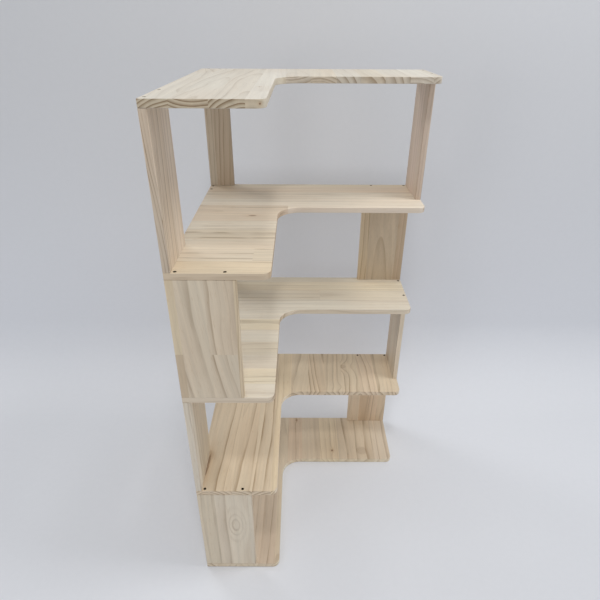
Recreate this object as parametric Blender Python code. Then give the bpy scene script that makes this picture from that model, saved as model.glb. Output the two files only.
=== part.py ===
"""Corner shelf: five L-shaped pine boards carried by uprights, all screwed together through the boards.

The uprights make a quarter turn from one bay to the next. The screws that come down through a board
into the uprights below it therefore miss those that come up through it into the uprights above.
Metres, +Z up. The origin is under the middle of the footprint. The room corner is at -X, +Y.
"""

import math
from collections import namedtuple

import bmesh
import bpy
from mathutils import Matrix, Vector

# Boards
LEFT_ARM_LENGTH = 0.600  # along Y, from the room corner to the tip
RIGHT_ARM_LENGTH = 0.600  # along X, from the room corner to the tip
LEFT_ARM_WIDTH = 0.210
RIGHT_ARM_WIDTH = 0.210
BOARD_THICKNESS = 0.015
TIP_RADIUS = 0.018  # the corner of each arm's tip that faces the room
CROOK_RADIUS = 0.060  # the inside corner between the arms
BOARD_EASE = 0.0012  # rounding along the boards' edges

# Uprights
BAY_HEIGHT = 0.300  # clear height between two boards
UPRIGHT_THICKNESS = 0.015
END_UPRIGHT_WIDTH = 0.142  # at the arms' tips
CORNER_UPRIGHT_WIDTH = 0.070  # in the room corner
UPRIGHT_EASE = 0.0012  # rounding along the uprights' long edges

# Screws
SCREW_LENGTH = 0.038
SCREW_SHANK_DIAMETER = 0.0032
SCREW_HEAD_DIAMETER = 0.0070
SCREW_RIM = 0.0006  # straight rim of the head, above its cone
SCREW_POINT = 0.0060  # length of the tapered point
SCREW_SINK = 0.0002  # depth of the head below the board's face
END_SCREW_INSET = 0.022  # from an upright's edge to the screw, on the wide uprights
CORNER_SCREW_INSET = 0.020  # the same on the narrow uprights

# Fits
SEAT_GAP = 0.0003  # between an upright's end and the board it meets
SCREW_CLEARANCE = 0.0003  # round a screw in its hole
HOLE_OVERCUT = 0.0010  # how far a drill runs past the faces it opens

# Facets
ARC_STEPS = 8
EASE_STEPS = 2
SCREW_SIDES = 12
SHARP_ANGLE = math.radians(35)  # faces that meet more sharply show a crease
EASE_ANGLE = math.radians(60)  # only the boards' real corners are eased

# Levels run from the bottom board up, and bays from the top down
BOARD_NAMES = ("bottom_board", "fourth_board", "third_board", "second_board", "top_board")
BAY_COUNT = len(BOARD_NAMES) - 1
BOARD_PITCH = BOARD_THICKNESS + BAY_HEIGHT

# Footprint
LEFT, RIGHT = -RIGHT_ARM_LENGTH / 2, RIGHT_ARM_LENGTH / 2
FRONT, BACK = -LEFT_ARM_LENGTH / 2, LEFT_ARM_LENGTH / 2

# Each place for an upright: its corner of the footprint, and the two directions that leave that corner
# along the board's edges. An upright runs along the first in odd bays, and along the second in even ones
Station = namedtuple("Station", "name corner edges width inset")
STATIONS = (
    Station("left", (LEFT, FRONT), ((0, 1), (1, 0)), END_UPRIGHT_WIDTH, END_SCREW_INSET),
    Station("corner", (LEFT, BACK), ((1, 0), (0, -1)), CORNER_UPRIGHT_WIDTH, CORNER_SCREW_INSET),
    Station("right", (RIGHT, BACK), ((0, -1), (-1, 0)), END_UPRIGHT_WIDTH, END_SCREW_INSET),
)

# Colours, roughness and metallic value
BOARD_FINISHES = {
    "bottom_board": (0.60, 0.47, 0.32),
    "fourth_board": (0.61, 0.48, 0.33),
    "third_board": (0.60, 0.49, 0.35),
    "second_board": (0.64, 0.53, 0.38),
    "top_board": (0.68, 0.60, 0.47),
}
UPRIGHT_FINISHES = {
    "left": (0.61, 0.50, 0.36),
    "corner": (0.58, 0.47, 0.34),
    "right": (0.57, 0.46, 0.33),
}
PINE_ROUGHNESS = 0.62
SCREW_FINISH = (0.10, 0.09, 0.08)
SCREW_ROUGHNESS = 0.38


def clear_scene():
    for old in list(bpy.data.objects):
        bpy.data.objects.remove(old)


def material(name, colour, roughness, metallic):
    made = bpy.data.materials.new(name)
    made.use_nodes = True
    shader = made.node_tree.nodes["Principled BSDF"]
    shader.inputs["Base Color"].default_value = (*colour, 1.0)
    shader.inputs["Roughness"].default_value = roughness
    shader.inputs["Metallic"].default_value = metallic
    return made


def mesh_from(name, shape):
    """Ends a bmesh as a mesh whose faces point out, smooth across all but its real corners."""
    bmesh.ops.recalc_face_normals(shape, faces=shape.faces[:])
    mesh = bpy.data.meshes.new(name)
    shape.to_mesh(mesh)
    shape.free()
    mesh.shade_smooth()
    mesh.set_sharp_from_angle(angle=SHARP_ANGLE)
    return mesh


def add_object(name, mesh, finish, parent):
    made = bpy.data.objects.new(name, mesh)
    bpy.context.scene.collection.objects.link(made)
    made.parent = parent
    if finish:
        made.data.materials.append(finish)
    return made


def add_cutter(name, mesh, parent):
    made = add_object(name, mesh, None, parent)
    made.hide_render = True
    made.display_type = "WIRE"
    return made


def cut(target, cutter):
    drilled = target.modifiers.new("drilled", "BOOLEAN")
    drilled.operation = "DIFFERENCE"
    drilled.solver = "EXACT"
    drilled.object = cutter


def ease(target, width):
    eased = target.modifiers.new("eased", "BEVEL")
    eased.width = width
    eased.segments = EASE_STEPS
    eased.limit_method = "ANGLE"
    eased.angle_limit = EASE_ANGLE


def arc(centre, radius, start, sweep):
    """Points of a round corner, from the angle start through sweep, in degrees."""
    points = []
    for step in range(ARC_STEPS + 1):
        angle = math.radians(start + sweep * step / ARC_STEPS)
        points.append(centre + radius * Vector((math.cos(angle), math.sin(angle))))
    return points


def board_outline():
    """The L, anticlockwise from the room corner: square against the walls, round towards the room."""
    inner_x = LEFT + LEFT_ARM_WIDTH
    inner_y = BACK - RIGHT_ARM_WIDTH
    left_tip = Vector((inner_x - TIP_RADIUS, FRONT + TIP_RADIUS))
    right_tip = Vector((RIGHT - TIP_RADIUS, inner_y + TIP_RADIUS))
    crook = Vector((inner_x + CROOK_RADIUS, inner_y - CROOK_RADIUS))
    points = [Vector((LEFT, BACK)), Vector((LEFT, FRONT))]
    points += arc(left_tip, TIP_RADIUS, -90, 90)
    points += arc(crook, CROOK_RADIUS, 180, -90)
    points += arc(right_tip, TIP_RADIUS, -90, 90)
    points.append(Vector((RIGHT, BACK)))
    return points


def prism(outline, low, high):
    """A flat outline raised from low to high."""
    shape = bmesh.new()
    corners = [shape.verts.new((x, y, low)) for x, y in outline]
    base = shape.faces.new(corners)
    raised = bmesh.ops.extrude_face_region(shape, geom=[base])
    top = [part for part in raised["geom"] if isinstance(part, bmesh.types.BMVert)]
    bmesh.ops.translate(shape, verts=top, vec=(0, 0, high - low))
    return shape


def turn(shape, profile, place):
    """Adds a profile of (radius, height) pairs, closed on the axis, turned round Z and set at place."""
    before = set(shape.verts)
    ring = [shape.verts.new((radius, 0, height)) for radius, height in profile]
    edges = [shape.edges.new(pair) for pair in zip(ring, ring[1:])]
    bmesh.ops.spin(
        shape,
        geom=ring + edges,
        axis=(0, 0, 1),
        cent=(0, 0, 0),
        angle=math.tau,
        steps=SCREW_SIDES,
        use_merge=True,
    )
    turned = [vert for vert in shape.verts if vert not in before]
    bmesh.ops.remove_doubles(shape, verts=turned, dist=SCREW_CLEARANCE / 10)
    turned = [vert for vert in shape.verts if vert not in before]
    bmesh.ops.transform(shape, matrix=place, verts=turned)


# A screw and its holes share one frame: the board's face is at height 0 and the screw points down
HEAD_RADIUS = SCREW_HEAD_DIAMETER / 2
SHANK_RADIUS = SCREW_SHANK_DIAMETER / 2
CONE_TOP = -SCREW_SINK - SCREW_RIM
CONE_FOOT = CONE_TOP - (HEAD_RADIUS - SHANK_RADIUS)  # a head of 90 degrees
SCREW_TIP = -SCREW_SINK - SCREW_LENGTH
POINT_TOP = SCREW_TIP + SCREW_POINT


def screw_profile():
    return (
        (0, -SCREW_SINK),
        (HEAD_RADIUS, -SCREW_SINK),
        (HEAD_RADIUS, CONE_TOP),
        (SHANK_RADIUS, CONE_FOOT),
        (SHANK_RADIUS, POINT_TOP),
        (0, SCREW_TIP),
    )


def board_hole_profile():
    """A sunk hole: a bore for the head, a cone under it, and a clear way for the shank."""
    bore = HEAD_RADIUS + SCREW_CLEARANCE
    way = SHANK_RADIUS + SCREW_CLEARANCE
    return (
        (0, HOLE_OVERCUT),
        (bore, HOLE_OVERCUT),
        (bore, CONE_TOP),
        (way, CONE_FOOT),
        (way, -BOARD_THICKNESS - HOLE_OVERCUT),
        (0, -BOARD_THICKNESS - HOLE_OVERCUT),
    )


def upright_hole_profile():
    """The hole in an upright's end, as deep as the screw reaches."""
    radius = SHANK_RADIUS + SCREW_CLEARANCE
    start = -BOARD_THICKNESS - SEAT_GAP + HOLE_OVERCUT
    return (
        (0, start),
        (radius, start),
        (radius, POINT_TOP),
        (0, SCREW_TIP - SCREW_CLEARANCE),
    )


def down_at(x, y, z):
    return Matrix.Translation((x, y, z))


def up_at(x, y, z):
    return Matrix.Translation((x, y, z)) @ Matrix.Rotation(math.pi, 4, "X")


def centre_line(bay, station):
    """The middle of an upright's thickness on plan: where it starts and which way it runs."""
    run, across = station.edges if bay % 2 else reversed(station.edges)
    start = Vector(station.corner) + Vector(across) * UPRIGHT_THICKNESS / 2
    return start, Vector(run)


def screw_places(bay):
    """Where the screws of a bay's uprights stand on plan, with the station's name and a letter."""
    for station in STATIONS:
        start, run = centre_line(bay, station)
        for letter, along in (("a", station.inset), ("b", station.width - station.inset)):
            spot = start + run * along
            yield station.name, letter, spot.x, spot.y


def level_above(bay):
    """The level of the board that closes a bay at its top."""
    return BAY_COUNT - bay + 1


def board_cutter(level, root):
    """All the holes of one board: down into the bay below it, and up into the bay above it."""
    shape = bmesh.new()
    underside = level * BOARD_PITCH
    for bay in range(1, BAY_COUNT + 1):
        for _, _, x, y in screw_places(bay):
            if level == level_above(bay):
                turn(shape, board_hole_profile(), down_at(x, y, underside + BOARD_THICKNESS))
            elif level == level_above(bay) - 1:
                turn(shape, board_hole_profile(), up_at(x, y, underside))
    return add_cutter(BOARD_NAMES[level] + "_holes", mesh_from("board holes", shape), root)


def make_boards(root):
    for level, name in enumerate(BOARD_NAMES):
        underside = level * BOARD_PITCH
        slab = mesh_from(name, prism(board_outline(), underside, underside + BOARD_THICKNESS))
        pine = material(name + " pine", BOARD_FINISHES[name], PINE_ROUGHNESS, 0.0)
        board = add_object(name, slab, pine, root)
        ease(board, BOARD_EASE)
        cut(board, board_cutter(level, root))


def upright_mesh(name, width):
    """An upright standing on its foot, its width along X, eased along its long edges."""
    half = width / 2
    side = UPRIGHT_THICKNESS / 2
    outline = [Vector((-half, -side)), Vector((half, -side)), Vector((half, side)), Vector((-half, side))]
    shape = prism(outline, 0, BAY_HEIGHT - 2 * SEAT_GAP)
    long_edges = [edge for edge in shape.edges if edge.verts[0].co.z != edge.verts[1].co.z]
    bmesh.ops.bevel(
        shape,
        geom=long_edges,
        offset=UPRIGHT_EASE,
        affect="EDGES",
        segments=EASE_STEPS,
        profile=0.5,
        material=-1,
    )
    return mesh_from(name, shape)


def upright_cutter(name, station, upright):
    """The screw holes in both ends of an upright, in the upright's own frame."""
    shape = bmesh.new()
    reach = station.width / 2 - station.inset
    face_above = BAY_HEIGHT - SEAT_GAP + BOARD_THICKNESS
    face_below = -SEAT_GAP - BOARD_THICKNESS
    for along in (-reach, reach):
        turn(shape, upright_hole_profile(), down_at(along, 0, face_above))
        turn(shape, upright_hole_profile(), up_at(along, 0, face_below))
    return add_cutter(name + "_holes", mesh_from("upright holes", shape), upright)


def make_uprights(root):
    for bay in range(1, BAY_COUNT + 1):
        floor = level_above(bay) * BOARD_PITCH - BAY_HEIGHT
        for station in STATIONS:
            node = f"bay_{bay}_{station.name}_upright"
            pine = material(node + " pine", UPRIGHT_FINISHES[station.name], PINE_ROUGHNESS, 0.0)
            upright = add_object(node, upright_mesh(node, station.width), pine, root)
            start, run = centre_line(bay, station)
            middle = start + run * station.width / 2
            upright.location = (middle.x, middle.y, floor + SEAT_GAP)
            upright.rotation_euler.z = math.atan2(run.y, run.x)
            cut(upright, upright_cutter(node, station, upright))


def make_screws(root):
    """Two screws for each end of each upright. Those under the bottom board leave only their holes."""
    shape = bmesh.new()
    turn(shape, screw_profile(), Matrix.Identity(4))
    mesh = mesh_from("wood screw", shape)
    mesh.materials.append(material("screw steel", SCREW_FINISH, SCREW_ROUGHNESS, 1.0))
    for bay in range(1, BAY_COUNT + 1):
        top = level_above(bay) * BOARD_PITCH + BOARD_THICKNESS
        for name, letter, x, y in screw_places(bay):
            screw = add_object(f"bay_{bay}_{name}_top_screw_{letter}", mesh, None, root)
            screw.matrix_local = down_at(x, y, top)
            if bay < BAY_COUNT:
                screw = add_object(f"bay_{bay}_{name}_foot_screw_{letter}", mesh, None, root)
                screw.matrix_local = up_at(x, y, top - BOARD_THICKNESS - BOARD_PITCH)


def main():
    clear_scene()
    root = bpy.data.objects.new("corner_shelf", None)
    bpy.context.scene.collection.objects.link(root)
    make_boards(root)
    make_uprights(root)
    make_screws(root)


main()
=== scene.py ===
"""Corner shelf, dressed: finger-jointed pine boards and uprights, flush wood screws and a pale paper sweep.

Metres, +Z up, in the frame's own place: the room corner is at -X, +Y.
"""

import math
import random
from collections import namedtuple

import bmesh
import bpy
from mathutils import Matrix, Vector


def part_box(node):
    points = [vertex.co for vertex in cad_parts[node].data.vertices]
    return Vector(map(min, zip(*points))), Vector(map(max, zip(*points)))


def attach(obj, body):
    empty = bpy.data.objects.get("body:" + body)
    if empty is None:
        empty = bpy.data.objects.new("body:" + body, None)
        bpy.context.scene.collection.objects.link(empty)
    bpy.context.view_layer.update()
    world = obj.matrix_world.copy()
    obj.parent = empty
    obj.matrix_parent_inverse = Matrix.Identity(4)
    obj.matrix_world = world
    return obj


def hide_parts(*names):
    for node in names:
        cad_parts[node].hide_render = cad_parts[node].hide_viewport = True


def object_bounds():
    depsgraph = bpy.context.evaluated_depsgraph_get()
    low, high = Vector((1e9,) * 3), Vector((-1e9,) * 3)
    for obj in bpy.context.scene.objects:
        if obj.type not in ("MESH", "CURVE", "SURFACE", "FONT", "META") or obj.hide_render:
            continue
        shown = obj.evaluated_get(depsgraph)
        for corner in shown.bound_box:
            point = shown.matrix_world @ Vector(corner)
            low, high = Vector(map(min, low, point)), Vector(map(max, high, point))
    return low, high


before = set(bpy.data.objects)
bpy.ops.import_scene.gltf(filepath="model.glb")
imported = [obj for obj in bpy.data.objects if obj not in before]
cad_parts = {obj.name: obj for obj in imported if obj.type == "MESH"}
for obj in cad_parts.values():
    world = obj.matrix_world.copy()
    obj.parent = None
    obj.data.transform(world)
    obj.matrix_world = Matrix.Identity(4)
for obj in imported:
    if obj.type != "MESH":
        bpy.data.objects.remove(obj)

CAD_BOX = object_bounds()
BODY = "root"
X, Y, Z = 0, 1, 2

BOARDS = ("top_board", "second_board", "third_board", "fourth_board", "bottom_board")
BOARDS_ALONG_X = ("second_board", "third_board")  # the grain of the other boards runs along Y
BAYS = (1, 2, 3, 4)
SIDES = ("left", "corner", "right")

# Boards and uprights. Their places and outer sizes come from the frame
ARM_WIDTH = 0.210
TIP_RADIUS = 0.018
CROOK_RADIUS = 0.060
EASE = 0.0012
EASE_STEPS = 4
ARC_STEPS = 20
SHARP = math.radians(60)

# Screws and their holes
HEAD_RADIUS = 0.0035
HEAD_RIM = 0.0006
RIM_CHAMFER = 0.0002
SHANK_RADIUS = 0.0016
SHANK_TAPER = 0.0001
SHANK_STEP = 0.5  # turns of thread over which the shank narrows to the core
CORE_RADIUS = 0.0011
POINT_LENGTH = 0.0060
THREAD_PITCH = 0.0016
THREAD_TURNS = 14
THREAD_STEPS = 12  # to a turn
THREAD_LEAD = 0.2  # turns from the shank's foot to the start of the ridge
THREAD_FLANK = 0.3  # half the ridge's width, in pitches
THREAD_ROOT = 0.0003  # how deep the ridge is let into the core
CLEARANCE = 0.0003
MOUTH_CHAMFER = 0.00015
OVERCUT = 0.0010
TURNED_SIDES = 28
RECESS_DEPTH = 0.0016
RECESS_LENGTH = 0.0042
RECESS_WIDTH = 0.0009
RECESS_TAPER = 0.55
SCREW_SHARP = math.radians(35)
SPIN_STEP = 37  # degrees from one screw to the next
CROSS_TURN = 90  # degrees after which a cross looks the same

# Meshes
SAME_PLACE = 0.0005
MERGE = 1e-6
FLAT = 0.9999  # a face is flat if its normal has this much of one axis

# Camera, fitted to the photograph's frame of 600 pixels a side
EYE = (-0.0356, -1.1343, 1.3803)
VIEW_DOWN = 0.5210  # radians below the horizon
VIEW_RIGHT = 0.0029
VIEW_ROLL = 0.0053
FOCAL_PIXELS = 481.2
FRAME_PIXELS = 600
SENSOR = 36.0


# Wood: how each piece is glued up
# A piece is a row of staves, each a line of blocks that are finger-jointed end to end. Every block is cut
# from its own log, so it has its own heart line, rings and tone:
# heart and depth place the heart line from the middle of the stave, across and through it
# turn and lean tilt it across and through
# ring is the rings' width, wander is how far they stray
# at is the place of one dark line on the face that shows, or else start shifts the rings
# line and ends are the dark lines' strength on faces and on end grain
# soft makes the lines soft bands, broken makes them patchy
Block = namedtuple("Block", "heart depth turn lean ring at start line ends soft broken wander tone knot")
# A knot's place, radius and darkness, how far it lifts the rings, and its stretch along grain and branch
Knot = namedtuple("Knot", "across along size dark swell long deep", defaults=(0.7, 0.004, 1.5, 20.0))

PALE = (1.05, 1.06, 1.08)
IVORY = (1.03, 1.01, 0.97)
CREAM = (1.00, 1.00, 1.00)
OATMEAL = (0.95, 0.94, 0.92)
STRAW = (1.01, 0.98, 0.90)
WHEAT = (0.96, 0.91, 0.82)
SAND = (0.94, 0.92, 0.88)
ROSE = (0.95, 0.90, 0.86)
TAN = (0.87, 0.82, 0.76)
# A grey-brown that paints shade: it darkens the bottom board's left arm, under the board above.
PAINTED_SHADE_UMBER = (0.87, 0.84, 0.83)
TONES = (PALE, CREAM, CREAM, OATMEAL, STRAW, SAND, ROSE)

STAVE_WIDTH = 0.057
STAVE_SPREAD = (0.92, 1.08)  # shares of the width
STAVE_LOST = (0.0, 0.8)  # share of the width that the low side cuts off a first stave
LEAST_STAVE = 0.006
BLOCK_LENGTHS = (0.40, 0.85)
BLOCK_LEFT = (0.1, 1.0)  # share of the greater length that is left of a first block
LEAST_BLOCK = 0.04
LINE_PHASE = 0.95  # where a ring is darkest
NO_KNOT = Knot(9.0, 9.0, 0.01, 0.0, 0.0)  # far off, and without effect
ROOM = (0.0, -1.0, 2.0)  # the faces turned to this spot are the ones whose lines are placed
WIDE_FACE = 0.5  # a wide face has more of its normal than this through the piece
SEED_SHIFT = 7.31  # these set the patterns of one block apart from those of another
STAVE_SHIFT = 1.73
BLOCK_SHIFT = 3.19
SHIFT_SPAN = 20.0
BOARD_SEED = 11
UPRIGHT_SEED = 40

# Pieces laid out after the photograph where it shows them. Seams, lines (at) and a knot's place
# across are measured from the piece's low side, joints and a knot's place along from its low end. A block
# is named by its stave and its place along it. The tint is for the whole piece, and edge tints are for
# its narrow faces, each from a stave on
# Tints and edge tints are partly the wood's own tone and partly painted light and shade: they lighten some
# pieces and darken others, and set narrow faces apart from wide ones, to match how brightly each is lit.
PLANS = {
    "top_board": {
        "seams": (0.051, 0.116, 0.176),
        "joints": {3: (0.100,)},
        # Its cool, pale tint is partly the wood's pale tone and partly painted sheen on the top.
        "tint": (0.94, 1.00, 1.08),
        "edge": {0: (0.98, 0.93, 0.84), 4: (1.02, 1.02, 1.03)},
        "tones": (CREAM, CREAM, CREAM, PALE, CREAM, IVORY, CREAM, IVORY, CREAM, PALE, CREAM),
        "blocks": {
            (0, 0): dict(heart=0.045, depth=-0.100, ring=0.007, line=0.38, ends=1.3, lean=0.02),
            (1, 0): dict(heart=0.012, depth=0.100, ring=0.0062, line=0.38, ends=1.3, lean=0.02),
            (2, 0): dict(heart=0.023, depth=-0.055, ring=0.0075, line=0.42, ends=1.3, lean=-0.02),
            (3, 0): dict(line=0.15, ends=0.30, knot=Knot(0.200, 0.0021, 0.0018, 0.95, 0.0, 1.0, 1.0)),
            (3, 1): dict(line=0.15, ends=0.30, knot=Knot(0.184, 0.174, 0.0024, 0.6)),
            (4, 0): dict(heart=-0.010, depth=0.080, ring=0.007, line=0.20, ends=0.80),
            (5, 0): dict(heart=-0.020, depth=-0.090, ring=0.006, line=0.20, ends=0.80),
            (6, 0): dict(heart=-0.060, depth=-0.045, ring=0.020, line=0.25, ends=0.85),
            (7, 0): dict(heart=-0.055, depth=-0.050, ring=0.023, line=0.25, ends=0.85),
            (8, 0): dict(heart=-0.070, depth=-0.040, ring=0.019, line=0.20, ends=0.80),
            (9, 0): dict(heart=-0.010, depth=-0.100, ring=0.009, line=0.20, ends=0.80),
            (10, 0): dict(heart=0.010, depth=-0.035, ring=0.010, line=0.20, ends=0.80),
        },
    },
    "second_board": {
        "seams": (0.055, 0.115, 0.172, 0.230, 0.287, 0.345, 0.405, 0.460, 0.520, 0.575),
        "joints": {1: (0.169,), 6: (0.235,)},
        "tint": (1.06, 1.07, 1.08),
        "edge": {0: (0.95, 0.92, 0.92)},
        "tones": (WHEAT, OATMEAL, OATMEAL, SAND, CREAM, ROSE, ROSE, PALE, CREAM, ROSE, SAND),
        "blocks": {
            (0, 0): dict(heart=0.050, depth=-0.040, ring=0.016, at=0.0475, line=0.35, turn=0.0, broken=0.8),
            (1, 0): dict(heart=-0.090, depth=-0.030, ring=0.019, at=0.071, line=0.55, turn=0.0, broken=0.8),
            (1, 1): dict(heart=0.060, depth=-0.030, ring=0.010, line=0.40, turn=0.0, broken=0.5, tone=SAND),
            (2, 0): dict(heart=0.080, depth=-0.020, ring=0.022, at=0.117, line=0.70, turn=0.0, broken=0.8),
            (3, 0): dict(
                heart=-0.100, depth=-0.020, ring=0.027, at=0.183, line=0.80, turn=0.0, broken=0.8,
                wander=0.03,
            ),
            (4, 0): dict(heart=-0.090, depth=-0.020, ring=0.024, at=0.254, line=0.65, turn=0.0, broken=0.8),
            (5, 0): dict(
                ring=0.012, line=0.45, turn=0.0, broken=0.6,
                knot=Knot(0.336, 0.147, 0.003, 0.6, 0.003, 4.0),
            ),
            (6, 0): dict(ring=0.013, line=0.50, turn=0.0, broken=0.6, wander=0.03),
            (6, 1): dict(ring=0.016, line=0.20, turn=0.0, tone=PALE),
            (7, 0): dict(ring=0.012, line=0.35, turn=0.0, wander=0.03),
        },
    },
    "third_board": {
        "seams": (0.050, 0.108, 0.165, 0.222, 0.280, 0.337, 0.394, 0.450, 0.508, 0.565),
        "joints": {0: (0.31,), 2: (0.12,), 8: (0.33,)},
        "tint": (1.04, 1.09, 1.14),
        "edge": {0: (1.02, 0.96, 0.90)},
        "tones": (CREAM, STRAW, CREAM, SAND, CREAM, STRAW, CREAM, CREAM, SAND, STRAW, SAND),
        "blocks": {
            (6, 0): dict(heart=0.080, depth=-0.030, ring=0.018, line=0.35, turn=0.0),
            (7, 0): dict(heart=-0.080, depth=-0.030, ring=0.020, line=0.45, turn=0.0),
            (8, 0): dict(heart=0.090, depth=-0.040, ring=0.016, line=0.60, turn=0.0),
            (9, 0): dict(heart=-0.070, depth=-0.040, ring=0.014, line=0.55, turn=0.0),
        },
    },
    "fourth_board": {
        "seams": (0.036, 0.093, 0.145, 0.194, 0.240, 0.298, 0.355, 0.412, 0.470, 0.527, 0.583),
        "tint": (1.08, 1.05, 1.01),
        "edge": {0: (1.17, 1.23, 1.34)},
        "tones": (SAND, SAND, SAND, SAND, STRAW, SAND, SAND, SAND, SAND, ROSE, SAND, SAND),
        "blocks": {
            # Its knot, drawn out along the grain beside the foot of bay 3's left upright, is partly a knot
            # and partly painted shade along that foot.
            (0, 0): dict(
                heart=0.040, depth=-0.080, ring=0.008, line=0.60, ends=0.9, turn=0.05, lean=0.0,
                knot=Knot(0.021, 0.085, 0.0038, 0.65, 0.006, 12.0),
            ),
            (1, 0): dict(
                heart=-0.040, depth=-0.080, ring=0.0085, at=0.045, line=0.74, ends=0.9, turn=0.03, lean=0.01,
            ),
            (2, 0): dict(
                heart=-0.042, depth=-0.090, ring=0.011, at=0.106, line=0.62, ends=0.9, turn=0.04, lean=0.01,
            ),
            (3, 0): dict(
                heart=0.042, depth=-0.090, ring=0.011, at=0.147, line=0.84, ends=0.9, turn=0.05, lean=0.01,
            ),
            (4, 0): dict(
                heart=0.040, depth=-0.080, ring=0.010, at=0.196, line=0.35, ends=0.8, turn=0.0, lean=0.0,
            ),
            (5, 0): dict(
                heart=-0.080, depth=-0.040, ring=0.020, line=0.60, ends=0.7, turn=0.08, wander=0.03,
            ),
            (6, 0): dict(heart=0.070, depth=-0.040, ring=0.016, line=0.86, ends=0.8, turn=-0.05, lean=0.01),
            (7, 0): dict(
                heart=-0.075, depth=-0.040, ring=0.014, line=0.84, ends=0.8, turn=0.06, lean=0.02,
                wander=0.03, knot=Knot(0.405, 0.415, 0.006, 0.0, 0.012, 1.6),
            ),
            (8, 0): dict(
                heart=0.050, depth=-0.046, ring=0.013, line=0.76, ends=0.8, lean=0.02, wander=0.03,
                knot=Knot(0.431, 0.524, 0.008, 0.25, 0.018, 1.6),
            ),
            (9, 0): dict(
                heart=-0.060, depth=-0.040, ring=0.014, line=0.84, ends=0.8, lean=-0.02, wander=0.04,
            ),
            (10, 0): dict(
                heart=-0.070, depth=-0.040, ring=0.014, line=0.72, ends=0.8, turn=0.05, wander=0.04,
            ),
            (11, 0): dict(heart=-0.070, depth=-0.040, ring=0.020, line=0.40, ends=0.7, wander=0.03),
        },
    },
    "bottom_board": {
        "seams": (0.030, 0.087, 0.144, 0.196, 0.226, 0.280, 0.345, 0.413, 0.478, 0.539),
        "tint": (1.01, 0.99, 0.97),
        "edge": {0: (1.36, 1.48, 1.56)},
        # The left arm's four staves take the painted shade of the board above.
        "tones": (PAINTED_SHADE_UMBER, PAINTED_SHADE_UMBER, PAINTED_SHADE_UMBER, PAINTED_SHADE_UMBER, SAND, ROSE, SAND, STRAW, SAND, SAND, CREAM),
        "blocks": {
            (1, 0): dict(heart=0.070, depth=-0.040, ring=0.020, line=0.40, ends=0.3),
            (2, 0): dict(heart=-0.070, depth=-0.040, ring=0.022, line=0.50, ends=0.3),
            (3, 0): dict(heart=0.080, depth=-0.040, ring=0.020, at=0.178, line=0.60, ends=0.3, turn=0.0),
            (5, 0): dict(
                heart=-0.070, depth=-0.030, ring=0.018, at=0.262, line=0.80, ends=0.4, turn=0.0, wander=0.03,
                knot=Knot(0.246, 0.586, 0.0028, 0.6, 0.006, 2.0),
            ),
            (6, 0): dict(heart=0.080, depth=-0.050, ring=0.025, line=0.25, ends=0.3),
            (7, 0): dict(
                heart=-0.060, depth=-0.040, ring=0.016, line=0.60, ends=0.4, wander=0.02,
                knot=Knot(0.377, 0.430, 0.0024, 0.8, 0.012, 2.4),
            ),
            (8, 0): dict(
                heart=0.060, depth=-0.040, ring=0.030, at=0.461, line=0.62, ends=0.4, turn=-0.043, lean=0.0,
            ),
            (9, 0): dict(
                heart=0.060, depth=-0.050, ring=0.022, at=0.483, line=0.58, ends=0.4, turn=0.0, lean=0.0,
                knot=Knot(0.507, 0.430, 0.0155, 0.20, 0.004, 1.4),
            ),
            (10, 0): dict(
                heart=0.070, depth=-0.050, ring=0.020, at=0.542, line=0.62, ends=0.3, turn=0.0, lean=0.0,
            ),
        },
    },
    "bay_1_left_upright": {
        "seams": (0.024, 0.081),
        # Its light tint paints light on the wide face, and the dark edge tint takes its narrow face back
        # down.
        "tint": (1.17, 1.15, 1.19),
        "edge": {0: (0.79, 0.78, 0.76)},
        "tones": (SAND, SAND, SAND),
        "blocks": {
            (0, 0): dict(
                heart=0.030, depth=-0.045, ring=0.0052, at=0.004, line=1.30, ends=0.9, turn=0.03,
                wander=0.02,
            ),
            (1, 0): dict(heart=-0.060, depth=-0.030, ring=0.011, line=0.95, turn=0.08, wander=0.03),
            (2, 0): dict(heart=-0.070, depth=-0.030, ring=0.016, line=0.55, turn=0.04, tone=CREAM),
        },
    },
    "bay_1_corner_upright": {
        "seams": (0.022,),
        # Its dark tint is painted shade: the corner upright stands back under the board above.
        "tint": (0.88, 0.86, 0.85),
        "tones": (SAND, TAN),
        "blocks": {
            (0, 0): dict(heart=0.060, depth=-0.040, ring=0.011, line=0.80, turn=0.0),
            (1, 0): dict(heart=0.050, depth=-0.030, ring=0.012, line=0.90, turn=0.02),
        },
    },
    "bay_1_right_upright": {"seams": (0.040, 0.097), "tint": (1.00, 0.99, 1.08), "tones": (TAN, ROSE, TAN)},
    "bay_2_left_upright": {
        "seams": (0.017, 0.076, 0.135),
        "joints": {0: (0.120,), 2: (0.120,)},
        "tint": (1.03, 1.01, 0.97),
        "tones": (STRAW, CREAM, CREAM, STRAW),
        "blocks": {
            (0, 0): dict(line=0.40, tone=TAN),
            (0, 1): dict(line=0.30),
            (1, 0): dict(
                heart=-0.070, depth=0.030, ring=0.040, at=0.074, line=0.42, turn=-0.10, wander=0.03,
            ),
            (2, 0): dict(
                heart=-0.080, depth=0.030, ring=0.024, at=0.109, line=0.64, turn=-0.19, wander=0.03,
            ),
            (2, 1): dict(
                heart=-0.060, depth=0.030, ring=0.019, at=0.090, line=0.60, turn=-0.05, wander=0.04,
                knot=Knot(0.138, 0.185, 0.0175, 0.15, 0.0, 6.0, 1.0),
            ),
            (3, 0): dict(line=0.50),
        },
    },
    "bay_2_right_upright": {
        "seams": (0.027, 0.116),
        "tint": (0.94, 0.89, 0.84),
        "tones": (STRAW, SAND, TAN),
        "blocks": {
            (0, 0): dict(heart=0.060, depth=-0.020, ring=0.017, at=0.024, line=0.60, turn=0.0),
            (1, 0): dict(
                heart=-0.002, depth=0.019, ring=0.018, at=0.096, line=0.62, soft=0.3, turn=-0.04, lean=0.076,
                wander=0.008,
            ),
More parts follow.
